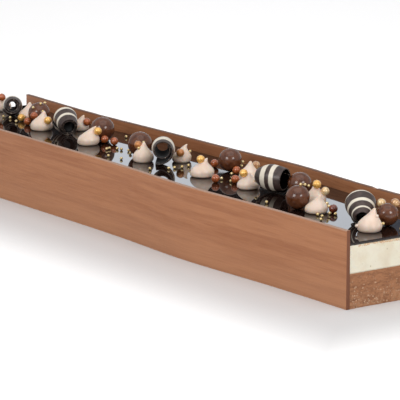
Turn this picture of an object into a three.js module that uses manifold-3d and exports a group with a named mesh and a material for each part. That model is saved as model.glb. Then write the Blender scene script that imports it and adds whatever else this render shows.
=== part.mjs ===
// A long chocolate slab cake, cut square at both ends: brown mousse, cream mousse and a thin dark
// glaze between two upright chocolate plates, with curls, balls and piped kisses along the top.
// Millimetres. +X is the length, -Y the front plate, +Z up. The origin is the middle of the underside.

import * as THREE from "three";
import { mergeVertices } from "three/addons/utils/BufferGeometryUtils.js";
import Module from "manifold-3d";

const wasm = await Module();
wasm.setup();

// Driving dimensions of the slab
const LENGTH = 456;
const WIDTH = 85;
const PLATE_HEIGHT = 45;
const PLATE_THICKNESS = 2.6;
const END_SETBACK = 0.5;
const BROWN_TOP = 20;
const CREAM_TOP = 36;
const GLAZE_TOP = 37.5;
const GAP = 0.3;
const SIDE_STEPS = 26;

// Where the long sides swell or draw in: the middle of the stretch, its reach, and how far it goes
const FRONT_SWELLS = [{ at: 80, reach: 58, by: 3.7 }];
const BACK_SWELLS = [
  { at: 68, reach: 46, by: 3.7 },
  { at: -142, reach: 70, by: -3.4 },
];

// Small toppings: radii, how deep they are set in, and how finely they are faceted
const PEARL = 2.6;
const BEAD = 1;
const BITE = 0.4;
const PEARL_SIDES = 8;
const PEARL_RINGS = 5;
const BEAD_DETAIL = 0;

// Piped kisses: the outline as [share of the radius, share of the height], from the foot to the tip
const KISS_OUTLINE = [
  [0.84, 0],
  [0.96, 0.08],
  [1, 0.2],
  [0.97, 0.32],
  [0.85, 0.44],
  [0.66, 0.56],
  [0.45, 0.68],
  [0.3, 0.79],
  [0.2, 0.88],
  [0, 1],
];
const KISS_SIDES = 12;
const LEAN_POWER = 2;
const HOOK_POWER = 6;

// Curls: a rolled sheet, so many turns long, each turn lying inside the last. Its outer edge stands
// off the roll by LOOSE[0] and comes back to it over LOOSE[1] of a turn.
const CURL_WALL = 0.8;
const BARREL_POWER = 1.6;
const LOOSE = [0.6, 0.3];
const LOOSE_POWER = 2;
const CURL_STEPS_PER_TURN = 18;
const CURL_STEPS_LONG = 4;

const BALL_SIDES = 16;
const BALL_RINGS = 10;

// Vertices closer than this are one vertex
const WELD = 1e-4;

// Chocolate balls. Pearls and beads are stuck on at [turn, rise], in degrees.
const BALLS = [
  { x: -219.5, y: -4, radius: 7 },
  { x: -165, y: 9.4, radius: 7.2, pearls: [[307, 0]], beads: [[289, 37], [345, 63], [89, 55]] },
  { x: -92.4, y: 10.9, radius: 7.8, pearls: [[335, -30]] },
  { x: -38.5, y: 3, radius: 7.7 },
  { x: 33, y: 20.5, radius: 7.2, beads: [[52, -8], [48, -26]] },
  { x: 113.8, y: 12.2, radius: 7.15, beads: [[345, 9], [4, 2]] },
  { x: 142.1, y: -10.9, radius: 7.1, beads: [[66, 77]] },
  { x: 205.4, y: 4.2, radius: 6.5, pearls: [[171, 37], [101, 40]] },
];

// Piped kisses. A kiss leans towards a turn in degrees, so far, and its tip is hooked so far more.
// Pearls and beads are stuck on at [turn in degrees, share of the height].
const KISSES = [
  { x: -220.5, y: 15.5, radius: 6.2, height: 12, lean: [234, 0.5, 0], pearls: [[330, 0.8]] },
  { x: -183.8, y: 13.1, radius: 6.5, height: 11.5, lean: [40, 1, 0] },
  {
    x: -147.5,
    y: -0.3,
    radius: 7.3,
    height: 12.4,
    lean: [54, 2.1, 0],
    pearls: [[0, 0.58]],
    beads: [[174, 0.95]],
  },
  { x: -132.1, y: 20.1, radius: 5.6, height: 10, lean: [54, 1.7, 0.8], pearls: [[7, 0.6]] },
  { x: -88.7, y: -2.6, radius: 7.1, height: 12, lean: [54, 3.2, 2.2], pearls: [[28, 0.75]] },
  {
    x: -23.5,
    y: -5,
    radius: 6.6,
    height: 12.3,
    lean: [54, 0.6, 0],
    pearls: [[205, 0.82]],
    beads: [[152, 0.95], [265, 0.7]],
  },
  {
    x: -9.3,
    y: 14.2,
    radius: 6,
    height: 11.2,
    lean: [54, 2, 1.5],
    pearls: [[308, 0.6]],
    beads: [[64, 0.56]],
  },
  { x: 34.3, y: -1.5, radius: 7.4, height: 11.4, lean: [54, 1.6, 1.6], pearls: [[240, 0.93]] },
  {
    x: 78.5,
    y: 0.5,
    radius: 6.8,
    height: 9.8,
    lean: [54, 0.3, 0],
    pearls: [[248, 0.95]],
    beads: [[20, 0.53]],
  },
  { x: 61.2, y: 14.2, radius: 6.6, height: 12.2, lean: [54, 0.8, 0], pearls: [[95, 0.72]] },
  {
    x: 135,
    y: 7.8,
    radius: 6.2,
    height: 12,
    lean: [234, 0.5, 0],
    pearls: [[344, 0.98], [40, 0.62]],
  },
  {
    x: 155,
    y: -7.3,
    radius: 6.7,
    height: 10.6,
    lean: [54, 1.8, 0.6],
    beads: [[60, 0.5], [50, 0.36]],
  },
  {
    x: 210,
    y: -12.5,
    radius: 7,
    height: 13.4,
    lean: [54, 3, 0],
    beads: [[249, 0.25], [53, 0.32], [11, 0.68]],
  },
  { x: 212, y: 25, radius: 6.8, height: 12.4, lean: [100, 1.5, 0], pearls: [[200, 0.7]] },
];

// Curls: the middle's place, where the open front end points and how far it dips, half the length,
// where along it the belly lies, the radius at the back, the belly and the front, the turns, how much
// tighter each turn is than the last, the turn of the loose outer edge, and how loose that is
const CURLS = [
  {
    x: -199.9,
    y: 10.5,
    heading: -30,
    dip: -8,
    half: 8.5,
    belly: 0,
    radii: [4.6, 7.2, 5.4],
    turns: 2.1,
    tighter: 1.1,
    lip: 200,
    loose: LOOSE,
  },
  {
    x: -127.5,
    y: 6.1,
    heading: -22,
    dip: 15,
    half: 9,
    belly: -0.5,
    radii: [6.3, 8.4, 6],
    turns: 2.1,
    tighter: 1.05,
    lip: 200,
    loose: LOOSE,
  },
  {
    x: -9.3,
    y: 0,
    heading: -36,
    dip: 0,
    half: 9,
    belly: 0,
    radii: [5.4, 7.7, 6.3],
    turns: 1.45,
    tighter: 1.1,
    lip: 245,
    loose: [3.4, 0.4],
  },
  {
    x: 98,
    y: 3.2,
    heading: 24,
    dip: 2,
    half: 9.2,
    belly: 0,
    radii: [5.2, 8.8, 7.5],
    turns: 1.3,
    tighter: 1.3,
    lip: 280,
    loose: LOOSE,
  },
  {
    x: 191.5,
    y: -4,
    heading: -34,
    dip: 22,
    half: 9.5,
    belly: -0.5,
    radii: [6.4, 9.5, 4.6],
    turns: 1.15,
    tighter: 0.95,
    lip: 240,
    loose: LOOSE,
  },
];

// Pearls and beads that lie on the glaze, as [x, y]
const GLAZE_PEARLS = [
  [-179.5, 4.8],
  [-166, 1],
  [-76.8, 9.4],
  [17.2, 20.2],
  [41.4, 19.2],
  [54, -5.6],
  [62.5, 2.8],
  [161.6, -0.2],
  [-207, -8],
  [216, 12.5],
];
const GLAZE_BEADS = [
  [-215.8, 4.6],
  [-210, -2],
  [-197.7, 2.2],
  [-191.5, 3.5],
  [-178, -0.3],
  [-178, 33],
  [-173, 35],
  [-91.8, 28.8],
  [-66, -3.6],
  [-66.8, -1],
  [-63.2, 2.5],
  [-60, 3.5],
  [-53.8, 4.9],
  [-47.3, -14.9],
  [-46, 0.8],
  [-35.6, -13.1],
  [0.5, -16.5],
  [6.1, -6.4],
  [6.5, -2.4],
  [7.5, 2.6],
  [6.3, 8.3],
  [49.6, 2],
  [41.8, 15.2],
  [59.2, 2],
  [119.1, -16.1],
  [162.5, -12.1],
  [164.1, -4.7],
  [167.3, -3],
  [167.5, -12.8],
  [173.7, -18.5],
  [219, 3],
  [201, 21],
];

const FINISHES = {
  brown: { color: 0x94684b, roughness: 0.9 },
  cream: { color: 0xe6dac7, roughness: 0.8 },
  glaze: { color: 0x1e1614, roughness: 0.08 },
  plate: { color: 0xa57352, roughness: 0.5 },
  ball: { color: 0x5f3c2d, roughness: 0.35 },
  kiss: { color: 0xe1cdb9, roughness: 0.6 },
  curl: { color: 0x50413c, roughness: 0.4 },
};

function degrees(angle) {
  return THREE.MathUtils.degToRad(angle);
}

// Material and mesh

function materialOf(kind) {
  return new THREE.MeshStandardMaterial({ ...FINISHES[kind], metalness: 0 });
}

function piece(name, geometry, material) {
  const mesh = new THREE.Mesh(geometry, material);
  mesh.name = name;
  return mesh;
}

// Solids for joining and cutting

function solidOf(geometry) {
  const bare = geometry.clone();
  bare.deleteAttribute("normal");
  bare.deleteAttribute("uv");
  const merged = mergeVertices(bare, WELD);
  return new wasm.Manifold(
    new wasm.Mesh({
      numProp: 3,
      vertProperties: merged.attributes.position.array,
      triVerts: new Uint32Array(merged.index.array),
    }),
  );
}

function geometryOf(solid) {
  const mesh = solid.getMesh();
  const geometry = new THREE.BufferGeometry();
  geometry.setAttribute("position", new THREE.BufferAttribute(mesh.vertProperties, 3));
  geometry.setIndex(new THREE.BufferAttribute(mesh.triVerts, 1));
  geometry.computeVertexNormals();
  return geometry;
}

// Small round toppings, as solids at their places

function pearlAt(place) {
  const round = new THREE.SphereGeometry(PEARL, PEARL_SIDES, PEARL_RINGS);
  return solidOf(round.translate(place.x, place.y, place.z));
}

function beadAt(place) {
  const round = new THREE.IcosahedronGeometry(BEAD, BEAD_DETAIL);
  return solidOf(round.translate(place.x, place.y, place.z));
}

function withToppings(body, pearlPlaces, beadPlaces) {
  let joined = solidOf(body);
  for (const place of pearlPlaces) joined = joined.add(pearlAt(place));
  for (const place of beadPlaces) joined = joined.add(beadAt(place));
  return geometryOf(joined);
}

// The slab

function swell(swells, x) {
  return swells.reduce((sum, s) => sum + s.by * Math.exp(-(((x - s.at) / s.reach) ** 2)), 0);
}

function frontSide(x) {
  return -WIDTH / 2 - swell(FRONT_SWELLS, x);
}

function backSide(x) {
  return WIDTH / 2 + swell(BACK_SWELLS, x);
}

// A flat body between two lines along the length, from one height to another.
function slab(nearLine, farLine, halfLength, from, to) {
  const along = (step) => halfLength * ((2 * step) / SIDE_STEPS - 1);
  const outline = new THREE.Shape();
  outline.moveTo(-halfLength, nearLine(-halfLength));
  for (let step = 1; step <= SIDE_STEPS; step += 1) {
    outline.lineTo(along(step), nearLine(along(step)));
  }
  for (let step = SIDE_STEPS; step >= 0; step -= 1) {
    outline.lineTo(along(step), farLine(along(step)));
  }
  outline.closePath();
  const body = new THREE.ExtrudeGeometry(outline, { depth: to - from, bevelEnabled: false });
  return body.translate(0, 0, from);
}

function layer(from, to) {
  const clear = PLATE_THICKNESS + GAP;
  return slab(
    (x) => frontSide(x) + clear,
    (x) => backSide(x) - clear,
    LENGTH / 2 - END_SETBACK,
    from,
    to,
  );
}

function frontPlate() {
  return slab(frontSide, (x) => frontSide(x) + PLATE_THICKNESS, LENGTH / 2, 0, PLATE_HEIGHT);
}

function backPlate() {
  return slab((x) => backSide(x) - PLATE_THICKNESS, backSide, LENGTH / 2, 0, PLATE_HEIGHT);
}

function glaze() {
  const onTop = (radius) => ([x, y]) => new THREE.Vector3(x, y, GLAZE_TOP + radius - BITE);
  return withToppings(
    layer(CREAM_TOP + GAP, GLAZE_TOP),
    GLAZE_PEARLS.map(onTop(PEARL)),
    GLAZE_BEADS.map(onTop(BEAD)),
  );
}

// A step of so far in the direction of a turn, level with the ground
function level(turn, reach) {
  return new THREE.Vector3(Math.cos(degrees(turn)), Math.sin(degrees(turn)), 0).multiplyScalar(reach);
}

// Chocolate balls

function ball({ x, y, radius, pearls = [], beads = [] }) {
  const centre = new THREE.Vector3(x, y, GLAZE_TOP + GAP + radius);
  const stuck = (small) => ([turn, rise]) => {
    const reach = radius + small - BITE;
    const place = level(turn, reach * Math.cos(degrees(rise))).add(centre);
    place.z += reach * Math.sin(degrees(rise));
    return place;
  };
  const body = new THREE.SphereGeometry(radius, BALL_SIDES, BALL_RINGS)
    .rotateX(Math.PI / 2)
    .translate(centre.x, centre.y, centre.z);
  return withToppings(body, pearls.map(stuck(PEARL)), beads.map(stuck(BEAD)));
}

// Piped kisses

function kissRadius(share) {
  const above = KISS_OUTLINE.findIndex(([, height]) => height >= share);
  if (above <= 0) return KISS_OUTLINE[Math.max(above, 0)][0];
  const [lowWide, low] = KISS_OUTLINE[above - 1];
  const [highWide, high] = KISS_OUTLINE[above];
  return THREE.MathUtils.mapLinear(share, low, high, lowWide, highWide);
}

// A kiss leans more and more towards its tip, and hooks over at the very tip.
function leanAt(share, [turn, reach, hook]) {
  return level(turn, reach * share ** LEAN_POWER + hook * share ** HOOK_POWER);
}

function kiss({ x, y, radius, height, lean, pearls = [], beads = [] }) {
  const foot = new THREE.Vector3(x, y, GLAZE_TOP + GAP);
  const outline = KISS_OUTLINE.map(([wide, high]) => new THREE.Vector2(wide * radius, high * height));
  const body = new THREE.LatheGeometry([new THREE.Vector2(0, 0), ...outline], KISS_SIDES);
  body.rotateX(Math.PI / 2);
  const points = body.attributes.position;
  const point = new THREE.Vector3();
  for (let i = 0; i < points.count; i += 1) {
    point.fromBufferAttribute(points, i);
    const share = Math.max(0, point.z / height);
    point.add(leanAt(share, lean)).add(foot);
    points.setXYZ(i, point.x, point.y, point.z);
  }
  const stuck = (small) => ([turn, share]) => {
    const place = level(turn, radius * kissRadius(share) + small - BITE);
    place.z = share * height;
    return place.add(leanAt(share, lean)).add(foot);
  };
  return withToppings(body, pearls.map(stuck(PEARL)), beads.map(stuck(BEAD)));
}

// Curls: one rolled sheet with an open hollow, along +X, its loose outer edge at the turn named lip

function curlRadius([back, middle, front], belly, along) {
  const end = along > belly ? front : back;
  const share = along > belly ? (along - belly) / (1 - belly) : (belly - along) / (1 + belly);
  return middle - (middle - end) * share ** BARREL_POWER;
}

function curlSheet({ half, belly, radii, turns, tighter, lip, loose: [standsOff, over] }) {
  const vertices = [];
  const faces = [];
  const steps = Math.round(turns * CURL_STEPS_PER_TURN);
  const columns = CURL_STEPS_LONG + 1;
  const perSkin = (steps + 1) * columns;
  for (const depth of [0, CURL_WALL]) {
    for (let i = 0; i <= steps; i += 1) {
      const turned = i / CURL_STEPS_PER_TURN;
      const angle = degrees(lip) + turned * 2 * Math.PI;
      const loose = standsOff * Math.max(0, 1 - turned / over) ** LOOSE_POWER;
      for (let j = 0; j < columns; j += 1) {
        const along = (2 * j) / CURL_STEPS_LONG - 1;
        const reach = curlRadius(radii, belly, along) - tighter * turned + loose - depth;
        vertices.push(along * half, reach * Math.cos(angle), reach * Math.sin(angle));
      }
    }
  }
  const at = (skin, i, j) => skin * perSkin + i * columns + j;
  const quad = (a, b, c, d) => faces.push(a, c, b, a, d, c);
  const last = CURL_STEPS_LONG;
  for (let i = 0; i < steps; i += 1) {
    for (let j = 0; j < last; j += 1) {
      quad(at(0, i, j), at(0, i, j + 1), at(0, i + 1, j + 1), at(0, i + 1, j));
      quad(at(1, i, j), at(1, i + 1, j), at(1, i + 1, j + 1), at(1, i, j + 1));
    }
    quad(at(0, i, 0), at(0, i + 1, 0), at(1, i + 1, 0), at(1, i, 0));
    quad(at(0, i, last), at(1, i, last), at(1, i + 1, last), at(0, i + 1, last));
  }
  for (let j = 0; j < last; j += 1) {
    quad(at(0, 0, j), at(1, 0, j), at(1, 0, j + 1), at(0, 0, j + 1));
    quad(at(0, steps, j), at(0, steps, j + 1), at(1, steps, j + 1), at(1, steps, j));
  }
  const sheet = new THREE.BufferGeometry();
  sheet.setAttribute("position", new THREE.Float32BufferAttribute(vertices, 3));
  sheet.setIndex(faces);
  return sheet;
}

// A curl lies on the glaze at the height its dip gives it.
function curl(shape) {
  const sheet = curlSheet(shape).rotateY(degrees(shape.dip)).rotateZ(degrees(shape.heading));
  sheet.computeBoundingBox();
  sheet.translate(shape.x, shape.y, GLAZE_TOP + GAP - sheet.boundingBox.min.z);
  sheet.computeVertexNormals();
  return sheet;
}

// The cake

function chocolateSlabCake() {
  const cake = new THREE.Group();
  const plate = materialOf("plate");
  cake.add(
    piece("brown_mousse", layer(0, BROWN_TOP), materialOf("brown")),
    piece("cream_mousse", layer(BROWN_TOP + GAP, CREAM_TOP), materialOf("cream")),
    piece("dark_glaze", glaze(), materialOf("glaze")),
    piece("plate_front", frontPlate(), plate),
    piece("plate_back", backPlate(), plate),
  );
  const toppings = [
    ["ball", BALLS, ball],
    ["kiss", KISSES, kiss],
    ["curl", CURLS, curl],
  ];
  for (const [kind, shapes, make] of toppings) {
    const material = materialOf(kind);
    shapes.forEach((shape, i) => cake.add(piece(`${kind}_${i + 1}`, make(shape), material)));
  }
  return cake;
}

export default chocolateSlabCake();
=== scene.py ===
"""A chocolate slab cake, dressed for a studio photograph.

Two mousse layers and a mirror glaze stand between upright chocolate plates. Balls, piped kisses,
striped curls, pearls and beads lie along the top. Sizes are millimetres in the classes and metres
in the meshes. +X is the length, -Y the front plate and +Z up.
"""

from __future__ import annotations

import logging
import math
import random
from collections.abc import Callable, Iterator
from contextlib import contextmanager
from dataclasses import dataclass, field
from enum import Enum

import bpy
from mathutils import Matrix, Vector, noise

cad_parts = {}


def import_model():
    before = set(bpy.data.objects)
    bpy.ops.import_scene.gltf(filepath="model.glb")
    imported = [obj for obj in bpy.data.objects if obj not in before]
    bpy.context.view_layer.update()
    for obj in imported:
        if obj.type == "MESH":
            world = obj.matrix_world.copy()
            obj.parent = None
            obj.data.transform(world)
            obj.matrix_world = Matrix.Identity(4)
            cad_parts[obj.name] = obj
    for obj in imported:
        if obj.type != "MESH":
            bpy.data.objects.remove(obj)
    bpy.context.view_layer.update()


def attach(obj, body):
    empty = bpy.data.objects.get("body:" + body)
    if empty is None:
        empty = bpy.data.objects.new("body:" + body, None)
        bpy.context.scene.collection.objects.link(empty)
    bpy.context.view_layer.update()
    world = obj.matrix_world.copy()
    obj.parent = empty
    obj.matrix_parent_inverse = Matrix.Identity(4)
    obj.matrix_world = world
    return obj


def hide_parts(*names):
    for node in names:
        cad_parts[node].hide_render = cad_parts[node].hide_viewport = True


log = logging.getLogger("cake")

MM = 0.001
Rule = Callable[[Vector], Vector]
Piece = bpy.types.Object
Material = bpy.types.Material


# Slab sizes, in millimetres


@dataclass(frozen=True)
class Swell:
    """A stretch where a long side swells out or draws in."""

    at: float
    reach: float
    by: float

    def here(self, x: float) -> float:
        """How far the side is moved at x."""
        return self.by * math.exp(-(((x - self.at) / self.reach) ** 2))


@dataclass(frozen=True)
class Slab:
    """The driving sizes of the slab and the lines of its two long sides."""

    length: float = 456
    width: float = 85
    plate_height: float = 45
    plate_thickness: float = 2.6
    end_setback: float = 0.5
    brown_foot: float = 0.05
    brown_top: float = 20
    cream_top: float = 36
    glaze_top: float = 37.5
    front_swells: tuple[Swell, ...] = (Swell(80, 58, 3.7),)
    back_swells: tuple[Swell, ...] = (Swell(68, 46, 3.7), Swell(-142, 70, -3.4))

    @property
    def half(self) -> float:
        """Half the length of the plates."""
        return self.length / 2

    @property
    def layer_half(self) -> float:
        """Half the length of the layers."""
        return self.half - self.end_setback

    def front(self, x: float) -> float:
        """Where the front plate's outer face lies at x."""
        return -self.width / 2 - sum(s.here(x) for s in self.front_swells)

    def back(self, x: float) -> float:
        """Where the back plate's outer face lies at x."""
        return self.width / 2 + sum(s.here(x) for s in self.back_swells)


SLAB = Slab()


# Shader graphs


@dataclass(frozen=True)
class Wire:
    """A value in a shader graph. Arithmetic on it adds Math nodes."""

    graph: Graph
    socket: bpy.types.NodeSocket

    def math(self, operation: str, *values: Wire | float) -> Wire:
        """A Math node on the values."""
        return self.graph.node("ShaderNodeMath", {"operation": operation}, dict(enumerate(values)))

    def __add__(self, other: Wire | float) -> Wire:
        """The sum."""
        return self.math("ADD", self, other)

    def __sub__(self, other: Wire | float) -> Wire:
        """The difference."""
        return self.math("SUBTRACT", self, other)

    def __rsub__(self, other: float) -> Wire:
        """A number less this value."""
        return self.math("SUBTRACT", other, self)

    def __mul__(self, other: Wire | float) -> Wire:
        """The product."""
        return self.math("MULTIPLY", self, other)

    __radd__ = __add__
    __rmul__ = __mul__

    def size(self) -> Wire:
        """The value without its sign."""
        return self.math("ABSOLUTE", self)

    def sine(self) -> Wire:
        """The sine of the value."""
        return self.math("SINE", self)

    def larger(self, other: Wire | float) -> Wire:
        """The larger of two values."""
        return self.math("MAXIMUM", self, other)

    def rise(self, low: float, high: float) -> Wire:
        """A smooth rise, or a fall where low is above high.

        Args:
            low: where it is 0.
            high: where it is 1.

        Returns:
            The share, 0 to 1.
        """
        return self.graph.node(
            "ShaderNodeMapRange",
            {"interpolation_type": "SMOOTHSTEP"},
            {0: self, 1: low, 2: high, 3: 0.0, 4: 1.0},
        )


Colour = tuple[float, float, float]


def shade(red: int, green: int, blue: int) -> Colour:
    """A display colour as linear light.

    Args:
        red: red, 0 to 255.
        green: green, 0 to 255.
        blue: blue, 0 to 255.

    Returns:
        The three channels, 0 to 1.
    """

    def linear(level: int) -> float:
        """One channel."""
        part = level / 255
        return part / 12.92 if part <= 0.04045 else ((part + 0.055) / 1.055) ** 2.4

    return linear(red), linear(green), linear(blue)


class Graph:
    """The node tree of one material, with a Principled shader at its end."""

    def __init__(self, name: str) -> None:
        """Starts an empty material.

        Args:
            name: the material's name.
        """
        self.material = bpy.data.materials.new(name)
        self.material.use_nodes = True
        self.tree = self.material.node_tree
        self.tree.nodes.clear()
        self.place = self.node("ShaderNodeTexCoord", output="Object")

    def node(
        self,
        kind: str,
        settings: dict | None = None,
        inputs: dict | None = None,
        output: int | str = 0,
    ) -> Wire:
        """Adds a node.

        Args:
            kind: the node's type.
            settings: its properties, set first.
            inputs: values or wires for its sockets, by name or number.
            output: the output that is wanted.

        Returns:
            The wanted output.
        """
        made = self.tree.nodes.new(kind)
        for key, value in (settings or {}).items():
            setattr(made, key, value)
        for key, value in (inputs or {}).items():
            socket = made.inputs[key]
            if isinstance(value, Wire):
                self.tree.links.new(value.socket, socket)
            else:
                socket.default_value = (*value, 1.0) if self._is_colour(socket, value) else value
        return Wire(self, made.outputs[output] if made.outputs else None)

    @staticmethod
    def _is_colour(socket: bpy.types.NodeSocket, value: object) -> bool:
        """Whether a value is a colour without its alpha."""
        return socket.type == "RGBA" and isinstance(value, tuple) and len(value) == 3

    def axis(self, name: str) -> Wire:
        """X, Y or Z of the place on the object, in metres."""
        return self.node("ShaderNodeSeparateXYZ", inputs={0: self.place}, output=name)

    def stretched(self, x: float, y: float, z: float) -> Wire:
        """The place on the object with each axis scaled."""
        return self.node("ShaderNodeMapping", inputs={"Vector": self.place, "Scale": (x, y, z)})

    def grain(self, cell: float, detail: float = 3.0, rough: float = 0.55, on: Wire | None = None) -> Wire:
        """Noise of 0 to 1.

        Args:
            cell: the size of its patches in millimetres, or a plain scale of 1/cell on a wire.
            detail: how many finer octaves it has.
            rough: how strong those are.
            on: the vector that it is read at, the place on the object if left out.

        Returns:
            The noise value.
        """
        scale = 1 / (cell * MM) if on is None else 1 / cell
        inputs = {"Vector": on or self.place, "Scale": scale, "Detail": detail, "Roughness": rough}
        return self.node("ShaderNodeTexNoise", inputs=inputs)

    def cells(self, cell: float) -> Wire:
        """The distance to the nearest of scattered points a cell apart, in cells."""
        return self.node("ShaderNodeTexVoronoi", inputs={"Vector": self.place, "Scale": 1 / (cell * MM)})

    def mix(self, share: Wire | float, first: Wire | Colour, second: Wire | Colour) -> Wire:
        """Two colours mixed, the second by share."""
        inputs = {0: share, 6: first, 7: second}
        return self.node("ShaderNodeMix", {"data_type": "RGBA"}, inputs, output=2)

    def bump(self, height: Wire, depth: float) -> Wire:
        """A normal from a height of 0 to 1, and the depth of that range in millimetres."""
        inputs = {"Height": height, "Distance": depth * MM, "Strength": 1.0}
        return self.node("ShaderNodeBump", inputs=inputs)

    def finish(
        self,
        colour: Wire | Colour,
        rough: Wire | float,
        normal: Wire | None = None,
        more: dict | None = None,
    ) -> Material:
        """Ends the graph.

        Args:
            colour: the base colour.
            rough: the roughness.
            normal: the normal, the mesh's own if left out.
            more: what the Principled shader's other sockets take.

        Returns:
            The material.
        """
        inputs = {"Base Color": colour, "Roughness": rough, **(more or {})}
        if normal is not None:
            inputs["Normal"] = normal
        shader = self.node("ShaderNodeBsdfPrincipled", inputs=inputs)
        self.node("ShaderNodeOutputMaterial", inputs={"Surface": shader})
        return self.material


# Finishes


@dataclass(frozen=True)
class PlateFinish:
    """Milk chocolate brushed lengthwise, darker at the cut ends, with painted light: a paler top edge as a
    highlight on the front plate, a darker one as shade on the back, and a paler foot as light from the
    floor.
    """

    name: str
    # The top edge's painted light: a highlight on the front plate, shade on the back plate.
    edge: Colour
    face: Colour = shade(172, 115, 76)
    streak: Colour = shade(149, 92, 56)
    # Painted light: the paler colour of the lower part, as light from the floor, and of the bottom edge,
    # as a highlight.
    foot: Colour = shade(186, 134, 98)
    cut: Colour = shade(116, 68, 42)
    wave_scale: tuple[float, float, float] = (14, 60, 300)
    brush_scale: tuple[float, float, float] = (50, 600, 1300)
    ragged: float = 0.5
    edge_depth: tuple[float, float] = (0.9, 0.2)
    end_depth: tuple[float, float] = (0.5, 0.2)
    # Heights where the painted floor light starts and where it is full.
    painted_floor_light_below: tuple[float, float] = (26, 2)
    slab: Slab = SLAB

    def make(self) -> Material:
        """Mixes its shades. A pair of depths says where a shade starts and where it is full.

        Returns:
            The material.
        """
        g = Graph(self.name)
        height = g.axis("Z")
        wave = g.grain(1.0, 3.0, 0.6, on=g.stretched(*self.wave_scale))
        fine = g.grain(1.0, 4.0, 0.7, on=g.stretched(*self.brush_scale))
        streaks = wave.rise(0.36, 0.66) * 0.6 + fine.rise(0.3, 0.7) * 0.4
        colour = g.mix(streaks, self.face, self.streak)
        top, end = self.slab.plate_height * MM, self.slab.half * MM
        wavering = height + (g.grain(3.0) - 0.5) * (self.ragged * MM)
        start, full = (depth * MM for depth in self.edge_depth)
        # Painted light along the top edge: the edge colour, a highlight on the front plate and shade on
        # the back plate.
        colour = g.mix(wavering.rise(top - start, top - full) * 0.8, colour, self.edge)
        low_start, low_full = (depth * MM for depth in self.painted_floor_light_below)
        # Painted light from the floor: paler towards the bottom.
        colour = g.mix(height.rise(low_start, low_full) * 0.4, colour, self.foot)
        # Painted highlight along the bottom edge.
        colour = g.mix(wavering.rise(start, full) * 0.6, colour, self.foot)
        start, full = (depth * MM for depth in self.end_depth)
        colour = g.mix(g.axis("X").size().rise(end - start, end - full), colour, self.cut)
        normal = g.bump(streaks + g.grain(0.6, 2.0) * 0.2, 0.12)
        rough = 0.46 + g.grain(6.0, 4.0) * 0.16
        return g.finish(colour, rough, normal, {"IOR": 1.46})


@dataclass(frozen=True)
class CreamFinish:
    """Cut cream mousse: near white, with a few pits painted darker as shade and a rough tan line under the
    glaze.
    """

    body: Colour = shade(232, 225, 205)
    warm: Colour = shade(224, 212, 188)
    # Painted shade in the pits.
    painted_pit_shade: Colour = shade(186, 168, 136)
    tan: Colour = shade(205, 168, 128)
    smear: Colour = shade(176, 158, 132)
    smear_height: float = 0.9
    drag: float = 1.2
    ragged: float = 2.2
    line: float = 0.3
    thickens: tuple[float, float] = (-42, -5)
    thicker: float = 1.7
    slab: Slab = SLAB

    def make(self) -> Material:
        """Mixes its shades and its relief.

        Returns:
            The material.
        """
        g = Graph("cream_mousse")
        height = g.axis("Z")
        colour = g.mix(g.grain(9.0, 3.0).rise(0.35, 0.7), self.body, self.warm)
        pits = g.cells(2.6).rise(0.2, 0.08) * g.grain(5.0, 2.0).rise(0.5, 0.62)
        # Painted shade: the pits are darkened.
        colour = g.mix(pits, colour, self.painted_pit_shade)
        low, top = self.slab.brown_top * MM, self.slab.cream_top * MM
        drag = (g.grain(4.0, 4.0) - 0.5) * (self.drag * MM)
        smeared = (height + drag).rise(low + self.smear_height * MM, low)
        colour = g.mix(smeared * 0.7, colour, self.smear)
        ragged = (g.grain(1.4, 4.0, 0.7) - 0.5) * (self.ragged * MM)
        start, full = (place * MM for place in self.thickens)
        from_front = g.axis("Y").rise(start, full) * (self.thicker * MM)
        band = (height + ragged + from_front).rise(top, top + self.line * MM)
        crumb = g.mix(g.grain(0.8, 3.0).rise(0.4, 0.6), self.tan, self.warm)
        colour = g.mix(band * 0.9, colour, crumb)
        relief = g.grain(1.1, 4.0, 0.6) - pits * 0.6
        soft = {"Subsurface Weight": 0.25, "Subsurface Radius": (0.6, 0.4, 0.25), "Subsurface Scale": MM}
        return g.finish(colour, 0.62, g.bump(relief, 0.22), soft)


@dataclass(frozen=True)
class BrownFinish:
    """Cut brown mousse: crumbly, streaked, coarser and paler lower down, with its pits painted darker as
    shade.
    """

    body: Colour = shade(171, 117, 80)
    # Dark streaks, and also the painted shade in the pits.
    dark: Colour = shade(116, 72, 46)
    pale: Colour = shade(186, 138, 102)
    crumb: Colour = shade(206, 168, 136)
    coarse: tuple[float, float] = (0.55, 0.1)
    streak_scale: tuple[float, float, float] = (500, 160, 700)
    slab: Slab = SLAB

    def make(self) -> Material:
        """Mixes its shades, coarse from one share of the height and wholly so at the other.

        Returns:
            The material.
        """
        g = Graph("brown_mousse")
        start, full = (share * self.slab.brown_top * MM for share in self.coarse)
        low_down = g.axis("Z").rise(start, full)
        streaks = g.grain(0.9, 5.0, 0.65, on=g.stretched(*self.streak_scale)).rise(0.4, 0.64)
        colour = g.mix(streaks * 0.55, self.body, self.dark)
        colour = g.mix(low_down * g.grain(3.2, 4.0).rise(0.4, 0.62) * 0.6, colour, self.pale)
        pits = g.grain(1.8, 4.0, 0.7).rise(0.45, 0.33)
        # Painted shade: the pits are darkened.
        colour = g.mix(pits * (0.1 + low_down * 0.55), colour, self.dark)
        crumbs = g.cells(2.0).rise(0.34, 0.16) * g.grain(4.0, 2.0).rise(0.42, 0.56)
        colour = g.mix(crumbs * (0.25 + low_down * 0.6), colour, self.crumb)
        relief = g.grain(1.2, 5.0, 0.7) - pits * 0.4 + crumbs * 0.5
        return g.finish(colour, 0.8, g.bump(relief, 0.45))


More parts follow.
